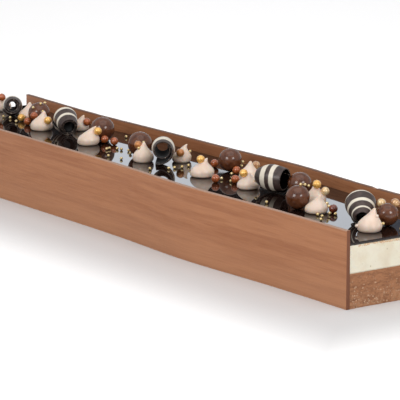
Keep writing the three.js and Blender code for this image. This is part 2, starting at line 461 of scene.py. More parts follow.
@dataclass(frozen=True)
class GlazeFinish:
    """Nearly black glaze with a mirror surface."""

    body: Colour = shade(24, 15, 13)
    lump: Colour = shade(34, 22, 18)

    def make(self) -> Material:
        """Mixes its shades and its relief.

        Returns:
            The material.
        """
        g = Graph("dark_mirror_glaze")
        colour = g.mix(g.grain(12.0, 3.0), self.body, self.lump)
        rough = 0.02 + g.grain(25.0, 3.0).rise(0.5, 0.8) * 0.05
        normal = g.bump(g.grain(38.0, 1.0), 0.06)
        return g.finish(colour, rough, normal, {"IOR": 1.5})


@dataclass(frozen=True)
class BallFinish:
    """Satin dark milk chocolate with faint blotches."""

    body: Colour = shade(102, 58, 34)
    bloom: Colour = shade(138, 92, 66)
    dark: Colour = shade(76, 39, 21)

    def make(self) -> Material:
        """Mixes its shades and its relief.

        Returns:
            The material.
        """
        g = Graph("satin_chocolate_ball")
        colour = g.mix(g.grain(2.6, 4.0).rise(0.4, 0.7), self.body, self.dark)
        colour = g.mix(g.grain(1.5, 5.0, 0.7).rise(0.56, 0.75) * 0.3, colour, self.bloom)
        rough = 0.13 + g.grain(2.0, 3.0).rise(0.3, 0.7) * 0.07
        normal = g.bump(g.grain(1.6, 3.0), 0.05)
        return g.finish(colour, rough, normal, {"IOR": 1.54})


@dataclass(frozen=True)
class KissFinish:
    """Smooth beige piped cream, a little warmer in patches."""

    body: Colour = shade(237, 215, 197)
    warm: Colour = shade(228, 203, 182)

    def make(self) -> Material:
        """Mixes its shades and its relief.

        Returns:
            The material.
        """
        g = Graph("beige_piped_cream")
        colour = g.mix(g.grain(5.0, 3.0).rise(0.35, 0.7), self.body, self.warm)
        relief = g.grain(1.2, 3.0) * 0.6 + g.grain(0.5, 2.0) * 0.2
        soft = {"Subsurface Weight": 0.3, "Subsurface Radius": (1.0, 0.6, 0.35), "Subsurface Scale": MM}
        soft |= {"Coat Weight": 0.35, "Coat Roughness": 0.14}
        rough = 0.26 + g.grain(3.0, 2.0) * 0.12
        return g.finish(colour, rough, g.bump(relief, 0.1), soft)


@dataclass(frozen=True)
class SmallFinish:
    """A shiny coloured shell of a pearl or a bead."""

    name: str
    body: Colour
    patch: Colour
    metal: float
    rough: float

    def make(self) -> Material:
        """Mixes its shades and its relief.

        Returns:
            The material.
        """
        g = Graph(self.name)
        colour = g.mix(g.grain(1.6, 4.0).rise(0.4, 0.68), self.body, self.patch)
        rough = self.rough + g.grain(1.0, 3.0) * 0.12
        normal = g.bump(g.grain(0.9, 3.0), 0.08)
        shine = {"Metallic": self.metal, "Coat Weight": 1.0, "Coat Roughness": 0.07}
        return g.finish(colour, rough, normal, shine)


class Shell(Enum):
    """The colours that pearls and beads come in. A drop is a bead of the kisses' own cream."""

    GOLD = SmallFinish("golden_pearl", shade(252, 196, 102), shade(240, 170, 70), 0.4, 0.22)
    PALE = SmallFinish("pale_gold_pearl", shade(226, 186, 130), shade(246, 222, 178), 0.3, 0.26)
    TAN = SmallFinish("tan_pearl", shade(176, 122, 78), shade(226, 188, 136), 0.2, 0.26)
    CARAMEL = SmallFinish("caramel_pearl", shade(204, 134, 68), shade(176, 104, 50), 0.3, 0.24)
    MILK = SmallFinish("milk_chocolate_pearl", shade(182, 92, 36), shade(146, 70, 26), 0.15, 0.2)
    DARK_MILK = SmallFinish("red_brown_pearl", shade(124, 50, 24), shade(88, 36, 18), 0.1, 0.22)
    BEAD = SmallFinish("champagne_bead", shade(226, 194, 128), shade(244, 222, 170), 0.6, 0.18)
    DROP = SmallFinish("cream_drop", shade(234, 214, 196), shade(228, 204, 184), 0.0, 0.36)


@dataclass(frozen=True)
class StripeFinish:
    """The outer face of a curl: dark chocolate with cream stripes round the roll."""

    name: str
    stripes: tuple[tuple[float, float], ...]
    slant: float = 0.03
    dark: Colour = shade(74, 58, 53)
    darker: Colour = shade(50, 37, 33)
    cream: Colour = shade(228, 218, 200)
    blur: float = 0.02
    wobble: float = 0.05

    def make(self) -> Material:
        """Lays the stripes. U of the curl's own map runs along it from 0 to 1, and V round the roll.

        Returns:
            The material.
        """
        g = Graph(self.name)
        sheet = g.node("ShaderNodeUVMap", {"uv_map": "UVMap"})
        along = g.node("ShaderNodeSeparateXYZ", inputs={0: sheet}, output="X")
        around = g.node("ShaderNodeSeparateXYZ", inputs={0: sheet}, output="Y")
        wobble = (g.grain(4.0, 2.0) - 0.5) * self.wobble
        shift = (around * (2 * math.pi)).sine() * self.slant
        where = along * 2 - 1 + wobble + shift
        mask = None
        for start, end in self.stripes:
            inside = where.rise(start - self.blur, start + self.blur)
            inside = inside * where.rise(end + self.blur, end - self.blur)
            mask = inside if mask is None else mask.larger(inside)
        colour = g.mix(g.grain(3.0, 4.0).rise(0.35, 0.7), self.dark, self.darker)
        colour = g.mix(mask, colour, self.cream)
        rough = 0.3 + g.grain(2.0, 3.0) * 0.12
        normal = g.bump(g.grain(1.6, 3.0) + mask * 0.3, 0.06)
        return g.finish(colour, rough, normal)


@dataclass(frozen=True)
class CurlInsideShadeFinish:
    """The glossy inner face of a curl, painted nearly black as the shade inside the roll."""

    body: Colour = shade(22, 16, 14)
    deep: Colour = shade(12, 8, 7)

    def make(self) -> Material:
        """Mixes its shades and its relief.

        Returns:
            The material.
        """
        g = Graph("curl_inside_painted_shade")
        colour = g.mix(g.grain(3.0, 3.0), self.body, self.deep)
        rough = 0.12 + g.grain(2.5, 3.0) * 0.1
        normal = g.bump(g.grain(2.2, 2.0), 0.05)
        return g.finish(colour, rough, normal, {"IOR": 1.08})


@dataclass(frozen=True)
class CurlEdgeFinish:
    """The paler broken edge of a curl's sheet."""

    body: Colour = shade(44, 33, 28)
    pale: Colour = shade(132, 116, 102)

    def make(self) -> Material:
        """Mixes its shades and its relief.

        Returns:
            The material.
        """
        g = Graph("curl_edge")
        colour = g.mix(g.grain(1.4, 4.0).rise(0.54, 0.68), self.body, self.pale)
        rough = 0.42 + g.grain(1.0, 2.0) * 0.1
        return g.finish(colour, rough, g.bump(g.grain(0.7), 0.05))


@dataclass(frozen=True)
class CrumbFinish:
    """Loose crumbs of one colour."""

    name: str
    body: Colour
    pale: Colour

    def make(self) -> Material:
        """Mixes its shades and its relief.

        Returns:
            The material.
        """
        g = Graph(self.name)
        colour = g.mix(g.grain(0.7, 4.0).rise(0.4, 0.65), self.body, self.pale)
        rough = 0.7 + g.grain(0.5, 2.0) * 0.15
        return g.finish(colour, rough, g.bump(g.grain(0.5), 0.1))


# Modelling


def select_only(*pieces: Piece) -> None:
    """Selects some objects, the first one active, and nothing else."""
    bpy.ops.object.select_all(action="DESELECT")
    for piece in pieces:
        piece.select_set(True)
    bpy.context.view_layer.objects.active = pieces[0]


def begin(name: str) -> Piece:
    """Names the primitive that was just added, and fixes its size and turn in its mesh.

    Args:
        name: its name.

    Returns:
        The piece, selected alone.
    """
    piece = bpy.context.object
    piece.name = name
    piece.data.name = name
    select_only(piece)
    bpy.ops.object.transform_apply(location=True, rotation=True, scale=True)
    return piece


def reshape(piece: Piece, rule: Rule) -> None:
    """Moves each vertex of a mesh.

    Args:
        piece: the mesh object.
        rule: gives a vertex's new place for its old one.
    """
    for vertex in piece.data.vertices:
        vertex.co = rule(vertex.co.copy())
    piece.data.update()


@contextmanager
def all_selected(piece: Piece) -> Iterator[None]:
    """Edit mode on one piece, with its whole mesh selected at the start.

    Args:
        piece: the mesh object.

    Returns:
        A context that goes back to object mode at its end.
    """
    select_only(piece)
    bpy.ops.object.mode_set(mode="EDIT")
    bpy.ops.mesh.select_all(action="SELECT")
    yield
    bpy.ops.object.mode_set(mode="OBJECT")


def close_up(piece: Piece, weld: float = 1e-3) -> None:
    """Welds a mesh's doubles and turns its faces outwards.

    Args:
        piece: the mesh object.
        weld: how near, in millimetres, doubles lie.
    """
    with all_selected(piece):
        bpy.ops.mesh.remove_doubles(threshold=weld * MM)
        bpy.ops.mesh.normals_make_consistent(inside=False)


def apply_modifier(piece: Piece, kind: str, **settings: object) -> None:
    """Adds a modifier to a piece and applies it.

    Args:
        piece: the mesh object.
        kind: the modifier's type.
        settings: its properties.
    """
    select_only(piece)
    modifier = piece.modifiers.new(kind.title(), kind)
    for key, value in settings.items():
        setattr(modifier, key, value)
    bpy.ops.object.modifier_apply(modifier=modifier.name)


def smooth(piece: Piece, angle: float = 40) -> None:
    """Shades a piece smooth, but for edges sharper than an angle in degrees."""
    select_only(piece)
    bpy.ops.object.shade_smooth_by_angle(angle=math.radians(angle))


def copy_of(mould: Piece, name: str, rule: Rule) -> Piece:
    """Copies a piece with its mesh.

    Args:
        mould: the piece to copy.
        name: the copy's name.
        rule: gives a vertex's new place for its old one.

    Returns:
        The copy.
    """
    copy = mould.copy()
    copy.data = mould.data.copy()
    copy.name = name
    bpy.context.scene.collection.objects.link(copy)
    reshape(copy, rule)
    return copy


def join(name: str, pieces: list[Piece]) -> Piece:
    """Joins pieces into one object, which keeps the material of each.

    Args:
        name: its name.
        pieces: the pieces.

    Returns:
        The joined piece.
    """
    select_only(*pieces)
    if len(pieces) > 1:
        bpy.ops.object.join()
    joined = bpy.context.object
    joined.name = name
    joined.data.name = name
    return joined


def discard(*pieces: Piece) -> None:
    """Removes moulds that have been copied."""
    for piece in pieces:
        bpy.data.objects.remove(piece, do_unlink=True)


def hand_over(piece: Piece, slot: str, *nodes: str) -> None:
    """Rides a finished piece on the cake and hides the solids that it replaces.

    Args:
        piece: the finished piece.
        slot: the record's material slot; not used.
        nodes: the solids that it replaces.
    """
    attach(piece, "root")
    if nodes:
        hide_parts(*nodes)
    log.info("%s: %d faces", piece.name, len(piece.data.polygons))


def uneven(point: Vector, cell: float, by: float, seed: float = 0.0) -> float:
    """A smooth random value at a point.

    Args:
        point: the place, in metres.
        cell: the size of its patches, in millimetres.
        by: its largest value.
        seed: moves the pattern.

    Returns:
        The value, between -by and by.
    """
    return by * noise.noise(point / (cell * MM) + Vector((seed, seed * 1.7, seed * 0.6)))


# The slab


@dataclass
class Layer:
    """A mousse layer or the glaze: a long bar between the plates, with finely modelled ends."""

    name: str
    low: float
    high: float
    cell: float
    relief: Callable[[Vector], float]
    slab: Slab = SLAB
    steps: int = 52
    tuck: float = 0.1
    end_slack: float = 1e-3
    proudest: float = 0.4

    def build(self, material: Material) -> Piece:
        """Extrudes the bar from its end, then lets its sides follow the plates.

        Args:
            material: its finish.

        Returns:
            The bar.
        """
        width = self.slab.width - 2 * (self.slab.plate_thickness - self.tuck)
        tall = self.high - self.low
        bpy.ops.mesh.primitive_grid_add(
            x_subdivisions=max(2, round(tall / self.cell)),
            y_subdivisions=round(width / self.cell),
            size=1,
            location=(-self.slab.layer_half * MM, 0, (self.low + self.high) / 2 * MM),
            rotation=(0, math.radians(90), 0),
        )
        bpy.context.object.scale = (tall * MM, width * MM, 1)
        bar = begin(self.name)
        step = 2 * self.slab.layer_half * MM / self.steps
        with all_selected(bar):
            for _ in range(self.steps):
                bpy.ops.mesh.extrude_region_move(TRANSFORM_OT_translate={"value": (step, 0, 0)})
        close_up(bar)
        reshape(bar, self._follow_sides)
        bar.data.materials.append(material)
        smooth(bar)
        return bar

    def _follow_sides(self, point: Vector) -> Vector:
        """Spreads the straight bar between the plates, and roughens its ends.

        Args:
            point: a point of the bar.

        Returns:
            Its new place.
        """
        x = point.x / MM
        clear = self.slab.plate_thickness - self.tuck
        near, far = self.slab.front(x) + clear, self.slab.back(x) - clear
        share = point.y / MM / (self.slab.width - 2 * clear) + 0.5
        point.y = (near + (far - near) * share) * MM
        if abs(x) > self.slab.layer_half - self.end_slack:
            point.x += min(self.relief(point), self.proudest) * MM * math.copysign(1, x)
        return point


def brown_relief(point: Vector) -> float:
    """Pits and crumbs on the brown layer's end.

    Args:
        point: a point of the end.

    Returns:
        How far it stands out, in millimetres.
    """
    fewer, pit_depth, sunk = 0.35, 0.7, 0.05
    coarse = uneven(point, cell=2.4, by=0.22, seed=3)
    fine = uneven(point, cell=1.0, by=0.2, seed=7)
    pits = min(0.0, uneven(point, cell=1.7, by=1.0, seed=11) + fewer)
    return coarse + fine + pit_depth * pits - sunk


def cream_relief(point: Vector) -> float:
    """Shallow waves, a few pits and a rough line under the glaze on the cream's end.

    Args:
        point: a point of the end.

    Returns:
        How far it stands out, in millimetres.
    """
    fewer, pit_depth, sunk, line = 0.55, 0.9, 0.02, 1.3
    soft = uneven(point, cell=6.0, by=0.14, seed=5) + uneven(point, cell=1.4, by=0.05, seed=9)
    pits = min(0.0, uneven(point, cell=2.2, by=1.0, seed=21) + fewer)
    under_glaze = max(0.0, (point.z / MM - SLAB.cream_top + line) / line)
    crumb_line = under_glaze * uneven(point, cell=1.1, by=0.45, seed=31)
    return soft + pit_depth * pits + crumb_line - sunk


def glaze_relief(point: Vector) -> float:
    """The glaze's end, rounded over above its middle and a little uneven.

    Args:
        point: a point of the end.

    Returns:
        How far it stands out, in millimetres.
    """
    proud, rounding = 0.25, 1.2
    height = (point.z / MM - SLAB.cream_top) / (SLAB.glaze_top - SLAB.cream_top)
    above = max(0.0, height - 0.5)
    return proud - rounding * above**2 + uneven(point, cell=7.0, by=0.12, seed=2)


@dataclass
class Chip:
    """A small break in a plate's top edge, at x, so long and so deep."""

    at: float
    long: float
    deep: float

    def depth(self, x: float) -> float:
        """How deep the break is at x."""
        return self.deep * max(0.0, 1 - abs(x - self.at) / self.long)


@dataclass
class Plate:
    """An upright chocolate plate that follows one long side."""

    name: str
    line: Callable[[float], float]
    inwards: float
    chips: tuple[Chip, ...] = ()
    slab: Slab = SLAB
    steps: int = 184
    rows: int = 18
    rounding: float = 0.3
    inset: float = 0.07
    banding: float = 5
    lowered: float = 0.12

    def build(self, material: Material) -> Piece:
        """Cuts a straight bar into steps, rounds its edges and bends it along its side.

        Args:
            material: its finish.

        Returns:
            The plate.
        """
        high, thick = self.slab.plate_height, self.slab.plate_thickness
        bpy.ops.mesh.primitive_cube_add(size=1, location=(0, 0, high / 2 * MM))
        bpy.context.object.scale = (self.slab.length * MM, thick * MM, high * MM)
        plate = begin(self.name)
        apply_modifier(plate, "BEVEL", width=self.rounding * MM, segments=2)
        with all_selected(plate):
            for row in range(1, self.rows):
                self._cut(Vector((0, 0, high * row / self.rows * MM)), Vector((0, 0, 1)))
            for step in range(1, self.steps):
                x = (step / self.steps - 0.5) * self.slab.length * MM
                self._cut(Vector((x, 0, 0)), Vector((1, 0, 0)))
        reshape(plate, self._follow_side)
        plate.data.materials.append(material)
        smooth(plate)
        return plate

    @staticmethod
    def _cut(place: Vector, normal: Vector) -> None:
        """Cuts new edges across the whole bar."""
        bpy.ops.mesh.select_all(action="SELECT")
        bpy.ops.mesh.bisect(plane_co=place, plane_no=normal)

    def _follow_side(self, point: Vector) -> Vector:
        """Moves the straight bar to its side, with uneven faces and a worn top edge.

        Args:
            point: a point of the bar.

        Returns:
            Its new place.
        """
        x, thick = point.x / MM, self.slab.plate_thickness
        share = point.y / MM / thick
        inner = share * self.inwards > 0
        banded = Vector((point.x, 0, point.z * self.banding))
        dent = uneven(point, cell=24.0, by=0.14, seed=4) + uneven(banded, cell=16.0, by=0.05, seed=8)
        wear = abs(dent) + self.inset
        point.y = (self.line(x) + self.inwards * thick / 2) * MM + share * thick * MM
        point.y += self.inwards * wear * MM * (-1 if inner else 1)
        if point.z / MM > self.slab.plate_height - 2 * self.rounding:
            worn = self.lowered + abs(uneven(point, cell=9.0, by=0.16, seed=6))
            point.z -= (worn + sum(c.depth(x) for c in self.chips)) * MM
        return point


# Toppings


@dataclass(frozen=True)
class Small:
    """A pearl or bead stuck on, by its turn in degrees and its rise or share of the height."""

    shell: Shell
    turn: float
    where: float


@dataclass
class Moulds:
    """One pearl and one bead, modelled once and copied for each that is needed."""

    pearl_radius: float = 2.6
    bead_radius: float = 1.0
    bite: float = 0.4
    sunk: float = 0.1
    smaller: float = 0.985
    tumble: tuple[float, float] = (0.7, 0.9)
    slab: Slab = SLAB
    pearl: Piece | None = None
    bead: Piece | None = None
    shells: dict[Shell, Material] = field(default_factory=dict)

    def cast(self) -> None:
        """Models the pearl, slightly lumpy, and the bead."""
        bpy.ops.mesh.primitive_uv_sphere_add(segments=20, ring_count=14, radius=self.pearl_radius * MM)
        self.pearl = begin("pearl_mould")
        reshape(self.pearl, lambda p: p * (self.smaller + uneven(p, cell=1.9, by=0.03, seed=1)))
        smooth(self.pearl, 80)
        bpy.ops.mesh.primitive_ico_sphere_add(subdivisions=2, radius=self.bead_radius * MM)
        self.bead = begin("bead_mould")
        smooth(self.bead, 80)

    @staticmethod
    def is_bead(shell: Shell) -> bool:
        """Whether a shell goes on a bead, not on a pearl."""
        return shell in (Shell.BEAD, Shell.DROP)

    def radius(self, shell: Shell) -> float:
        """The radius of a pearl or a bead."""
        return self.bead_radius if self.is_bead(shell) else self.pearl_radius

    def put(self, shell: Shell, centre: Vector) -> Piece:
        """A pearl or bead at a place.

        Args:
            shell: its colour.
            centre: its middle, in millimetres.

        Returns:
            The pearl or bead.
        """
        if shell not in self.shells:
            self.shells[shell] = shell.value.make()
        mould = self.bead if self.is_bead(shell) else self.pearl
        about_x, about_z = self.tumble
        turned = Matrix.Rotation(centre.x * about_x, 3, "X")
        turned = turned @ Matrix.Rotation(centre.y * about_z, 3, "Z")
        copy = copy_of(mould, "small", lambda p: turned @ p + centre * MM)
        copy.data.materials.clear()
        copy.data.materials.append(self.shells[shell])
        return copy

    def lay(self, shell: Shell, x: float, y: float) -> Piece:
        """A pearl or bead on the glaze, at a place in millimetres."""
        return self.put(shell, Vector((x, y, self.slab.glaze_top + self.radius(shell) - self.sunk)))


@dataclass
class Ball:
    """A chocolate ball on the glaze."""

    x: float
    y: float
    radius: float
    smalls: tuple[Small, ...] = ()
    slab: Slab = SLAB
    smaller: float = 0.992
    lump: float = 0.012
    dimple: float = 0.004
    dimple_cell: float = 2.2

    def build(self, name: str, material: Material, moulds: Moulds) -> Piece:
        """The ball with what is stuck to it.

        Args:
            name: its name.
            material: its finish.
            moulds: the pearl and bead to copy.

        Returns:
            The ball.
        """
        centre = Vector((self.x, self.y, self.slab.glaze_top + self.radius))
        bpy.ops.mesh.primitive_uv_sphere_add(segments=48, ring_count=28, radius=self.radius * MM)
        ball = begin(name)
        reshape(ball, lambda p: p * self._swollen(p) + centre * MM)
        ball.data.materials.append(material)
        smooth(ball, 80)
        parts = [ball]
        for small in self.smalls:
            reach = self.radius + moulds.radius(small.shell) - moulds.bite
            turn, rise = math.radians(small.turn), math.radians(small.where)
            flat = reach * math.cos(rise)
            at = Vector((flat * math.cos(turn), flat * math.sin(turn), reach * math.sin(rise)))
            parts.append(moulds.put(small.shell, centre + at))
        return join(name, parts)

    def _swollen(self, point: Vector) -> float:
        """How uneven the ball is at a point.

        Args:
            point: a point of a true sphere.

        Returns:
            How many times farther out the ball's own surface lies.
        """
        seed = self.x * 0.1
        times = self.smaller + uneven(point, self.radius, self.lump, seed)
        return times + uneven(point, self.dimple_cell, self.dimple, seed)


@dataclass
class Kiss:
    """A piped kiss. It leans towards a turn in degrees, so far, and its tip is hooked so far more."""

    x: float
    y: float
    radius: float
    height: float
    lean: tuple[float, float, float]
    smalls: tuple[Small, ...] = ()
    slab: Slab = SLAB
    outline: tuple[tuple[float, float], ...] = (
        (0.84, 0.0), (0.96, 0.08), (1.0, 0.2), (0.97, 0.32), (0.85, 0.44), (0.66, 0.56),
        (0.45, 0.68), (0.3, 0.79), (0.2, 0.88), (0.12, 0.95), (0.0, 1.0),
    )
    foot_share: float = 0.16
    tip_slope: float = 1.6
    hook_power: int = 6
    fold: float = 0.018
    fold_twist: float = 7
    fold_fade: float = 6
    lump: float = 0.18
    lump_cell: float = 5.0
    lump_fade: float = 4

    def half_width(self, share: float) -> float:
        """The outline's half width, by a smooth curve through its points.

        Args:
            share: the share of the height.

        Returns:
            The half width, in radii.
        """
        last = len(self.outline) - 1
        above = next((i for i, (_, high) in enumerate(self.outline) if high >= share), last)
        if above == 0:
            return self.outline[0][0]
        (low_wide, low), (high_wide, high) = self.outline[above - 1], self.outline[above]
        before = self.outline[max(above - 2, 0)][0]
        after = self.outline[min(above + 1, last)][0]
        t = (share - low) / (high - low)
        start, end = (high_wide - before) / 2, (after - low_wide) / 2
        if above == last:
            end = (high_wide - low_wide) * self.tip_slope
        return max(
            0.0,
            (2 * t**3 - 3 * t**2 + 1) * low_wide
            + (t**3 - 2 * t**2 + t) * start
            + (3 * t**2 - 2 * t**3) * high_wide
            + (t**3 - t**2) * end,
        )

    def leaning(self, share: float) -> Vector:
        """How far the kiss has leant.

        Args:
            share: the share of its height.

        Returns:
            The way it has moved, in millimetres.
        """
        turn, reach, hook = self.lean
        across = reach * share**2 + hook * share**self.hook_power
        return Vector((math.cos(math.radians(turn)), math.sin(math.radians(turn)), 0)) * across

    def build(self, name: str, material: Material, moulds: Moulds) -> Piece:
        """The kiss with what is stuck to it.

        Args:
            name: its name.
            material: its finish.
            moulds: the pearl and bead to copy.

        Returns:
            The kiss.
        """
        bpy.ops.mesh.primitive_uv_sphere_add(segments=44, ring_count=40, radius=1)
        kiss = begin(name)
        reshape(kiss, self._pipe)
        kiss.data.materials.append(material)
        close_up(kiss)
        smooth(kiss, 80)
        foot = Vector((self.x, self.y, self.slab.glaze_top))
        parts = [kiss]
        for small in self.smalls:
            radius = moulds.radius(small.shell)
            reach = self.radius * self.half_width(small.where) + radius - moulds.bite
            turn = math.radians(small.turn)
            at = Vector((reach * math.cos(turn), reach * math.sin(turn), small.where * self.height))
            parts.append(moulds.put(small.shell, foot + at + self.leaning(small.where)))
        return join(name, parts)

    def _pipe(self, point: Vector) -> Vector:
        """Turns a unit sphere into the kiss.

        Args:
            point: a point of the sphere.

        Returns:
            Its new place.
        """
        turn = math.atan2(point.y, point.x)
        ring = math.asin(max(-1.0, min(1.0, point.z))) / math.pi + 0.5
        if ring < self.foot_share:
            share, wide = 0.0, self.outline[0][0] * ring / self.foot_share
        else:
            share = (ring - self.foot_share) / (1 - self.foot_share)
            wide = self.half_width(share)
        seed = self.x * 0.3
        swing = math.sin(turn + self.fold_twist * share + seed)
        wide *= 1 + self.fold * swing * min(1.0, share * self.fold_fade)
        shape = Vector((math.cos(turn) * wide * self.radius, math.sin(turn) * wide * self.radius, 0))
        raised = shape * MM + Vector((0, 0, share * self.height * MM))
        lump = uneven(raised, self.lump_cell, self.lump, seed)
        shape *= 1 + lump / self.radius * min(1.0, share * self.lump_fade)
        place = Vector((self.x, self.y, self.slab.glaze_top + share * self.height))
        shape += self.leaning(share) + place
        return shape * MM


@dataclass
class Curl:
    """A striped curl: one sheet rolled once to a little over twice, open at both ends."""

    x: float
    y: float
    heading: float
    dip: float
    half: float
    belly: float
    radii: tuple[float, float, float]
    turns: float
    tighter: float
    lip: float
    stripes: tuple[tuple[float, float], ...]
    slant: float = 0.03
    slab: Slab = SLAB
    wall: float = 0.8
    barrel_power: float = 1.6
    loose_by: float = 0.6
    loose_turn: float = 0.3
    edge_round: float = 0.16
    torn: float = 0.25
    torn_power: int = 6
    torn_rate: tuple[float, float] = (1.3, 2)
    steps_round: int = 120
    steps_long: int = 28

    def radius(self, along: float) -> float:
        """The outer radius at a place along the curl.

        Args:
            along: the place, from -1 at its back to 1 at its front.

        Returns:
            The radius, in millimetres.
        """
        back, middle, front = self.radii
        if along > self.belly:
            end, share = front, (along - self.belly) / (1 - self.belly)
        else:
            end, share = back, (self.belly - along) / (1 + self.belly)
        return middle - (middle - end) * share**self.barrel_power

    def build(self, name: str, inside: Material, edge: Material) -> Piece:
        """Rolls a flat sheet up, thickens it and lays it on the glaze.

        Args:
            name: its name.
            inside: the inner face's finish, painted nearly black as shade.
            edge: the edge's finish.

        Returns:
            The curl.
        """
        bpy.ops.mesh.primitive_grid_add(
            x_subdivisions=self.steps_long, y_subdivisions=self.steps_round, size=2
        )
        curl = begin(name)
        reshape(curl, self._roll)
        with all_selected(curl):
            bpy.ops.mesh.flip_normals()
        outside = StripeFinish(f"{name}_stripes", self.stripes, self.slant).make()
        for material in (outside, inside, edge):
            curl.data.materials.append(material)
        apply_modifier(
            curl,
            "SOLIDIFY",
            thickness=self.wall * MM,
            offset=-1,
            use_even_offset=True,
            material_offset=1,
            material_offset_rim=2,
        )
        rounding = self.edge_round * MM
        apply_modifier(curl, "BEVEL", width=rounding, segments=2, angle_limit=math.radians(50))
        turned = Matrix.Rotation(math.radians(self.heading), 3, "Z")
        turned = turned @ Matrix.Rotation(math.radians(self.dip), 3, "Y")
        reshape(curl, lambda p: turned @ p)
        lowest = min(v.co.z for v in curl.data.vertices)
        foot = Vector((self.x, self.y, self.slab.glaze_top)) * MM - Vector((0, 0, lowest))
        reshape(curl, lambda p: p + foot)
        smooth(curl, 45)
        return curl

    def _roll(self, point: Vector) -> Vector:
        """Rolls up a flat sheet of 2 by 2.

        Args:
            point: a point of the sheet.

        Returns:
            Its new place.
        """
        along, turned = point.x, self.turns * (point.y + 1) / 2
        angle = math.radians(self.lip) + turned * 2 * math.pi
        loose = self.loose_by * max(0.0, 1 - turned / self.loose_turn) ** 2
        reach = self.radius(along) - self.tighter * turned + loose
        round_rate, long_rate = self.torn_rate
        torn = noise.noise(Vector((angle * round_rate, self.x, along * long_rate))) * self.torn
        torn *= abs(along) ** self.torn_power
        long = along * self.half - abs(torn) * math.copysign(1, along)
        return Vector((long, reach * math.cos(angle), reach * math.sin(angle))) * MM


BALLS = (
    Ball(-219.5, -4, 7),
    Ball(-165, 9.4, 7.2, (
        Small(Shell.MILK, 307, 0), Small(Shell.BEAD, 289, 37), Small(Shell.BEAD, 345, 63),
        Small(Shell.BEAD, 89, 55),
    )),
    Ball(-92.4, 10.9, 7.8, (Small(Shell.MILK, 335, -30),)),
    Ball(-38.5, 3, 7.7),
    Ball(33, 20.5, 7.2, (Small(Shell.BEAD, 52, -8), Small(Shell.BEAD, 48, -26))),
    Ball(113.8, 12.2, 7.15, (Small(Shell.BEAD, 345, 9), Small(Shell.BEAD, 4, 2))),
    Ball(142.1, -10.9, 7.1, (Small(Shell.BEAD, 66, 77),)),
    Ball(205.4, 4.2, 6.5, (Small(Shell.PALE, 171, 37), Small(Shell.TAN, 101, 40))),
)

KISSES = (
    Kiss(-220.5, 15.5, 6.2, 12, (234, 0.5, 0), (Small(Shell.MILK, 330, 0.8),)),
    Kiss(-183.8, 13.1, 6.5, 11.5, (40, 1, 0)),
    Kiss(-147.5, -0.3, 7.3, 12.4, (54, 2.1, 0), (
        Small(Shell.GOLD, 0, 0.58), Small(Shell.BEAD, 174, 0.95),
    )),
    Kiss(-132.1, 20.1, 5.6, 10, (54, 1.7, 0.8), (Small(Shell.MILK, 7, 0.6),)),
    Kiss(-88.7, -2.6, 7.1, 12, (54, 3.2, 2.2), (Small(Shell.GOLD, 28, 0.75),)),
    Kiss(-23.5, -5, 6.6, 12.3, (54, 0.6, 0), (
        Small(Shell.CARAMEL, 205, 0.82), Small(Shell.BEAD, 152, 0.95), Small(Shell.BEAD, 265, 0.7),
    )),
    Kiss(-9.3, 14.2, 6, 11.2, (54, 2, 1.5), (
        Small(Shell.CARAMEL, 308, 0.6), Small(Shell.BEAD, 64, 0.56),
    )),
    Kiss(34.3, -1.5, 7.4, 11.4, (54, 1.6, 1.6), (Small(Shell.GOLD, 240, 0.93),)),
    Kiss(78.5, 0.5, 6.8, 9.8, (54, 0.3, 0), (
        Small(Shell.GOLD, 248, 0.95), Small(Shell.BEAD, 20, 0.53),
    )),
    Kiss(61.2, 14.2, 6.6, 12.2, (54, 0.8, 0), (Small(Shell.TAN, 95, 0.72),)),
    Kiss(135, 7.8, 6.2, 12, (234, 0.5, 0), (
        Small(Shell.GOLD, 344, 0.98), Small(Shell.PALE, 40, 0.62),
    )),
    Kiss(155, -7.3, 6.7, 10.6, (54, 1.8, 0.6), (
        Small(Shell.BEAD, 60, 0.5), Small(Shell.BEAD, 50, 0.36),
    )),
    Kiss(210, -12.5, 7, 13.4, (54, 3, 0), (
        Small(Shell.DROP, 249, 0.25), Small(Shell.BEAD, 53, 0.32), Small(Shell.DROP, 11, 0.68),
    )),
    Kiss(212, 25, 6.8, 12.4, (100, 1.5, 0), (Small(Shell.MILK, 200, 0.7),)),
)

CURLS = (
    Curl(
        -199.9, 10.5, heading=-30, dip=-8, half=8.5, belly=0, radii=(4.6, 7.2, 5.4),
        turns=2.1, tighter=1.1, lip=200, stripes=((-1.1, -0.62), (-0.1, 0.42)),
    ),
    Curl(
        -127.5, 6.1, heading=-22, dip=15, half=9, belly=-0.5, radii=(6.3, 8.4, 6),
        turns=2.1, tighter=1.05, lip=200, stripes=((-0.85, -0.3), (0.22, 0.46)),
    ),
    Curl(
        -9.3, 0, heading=-36, dip=0, half=9, belly=0, radii=(5.4, 7.7, 6.3),
        turns=1.45, tighter=1.1, lip=245, loose_by=3.4, loose_turn=0.4,
        stripes=((-0.75, -0.35), (0.0, 0.6)),
    ),
    Curl(
        98, 3.2, heading=24, dip=2, half=9.2, belly=0, radii=(5.2, 8.8, 7.5),
        turns=1.3, tighter=1.3, lip=280, stripes=((-0.5, -0.1), (0.2, 0.5)), slant=0.07,
    ),
    Curl(
        191.5, -4, heading=-34, dip=22, half=9.5, belly=-0.5, radii=(6.4, 9.5, 4.6),
        turns=1.15, tighter=0.95, lip=240, stripes=((-0.95, -0.5), (0.04, 0.25), (0.6, 0.7)),
    ),
)

# Pearls on the glaze, as colour and place
GLAZE_PEARLS = (
    (Shell.GOLD, -179.5, 4.8), (Shell.MILK, -166, 1), (Shell.MILK, -76.8, 9.4),
    (Shell.MILK, 17.2, 20.2), (Shell.MILK, 41.4, 19.2), (Shell.MILK, 54, -5.6),
    (Shell.MILK, 62.5, 2.8), (Shell.DARK_MILK, 161.6, -0.2), (Shell.MILK, -207, -8),
    (Shell.GOLD, 216, 12.5),
)

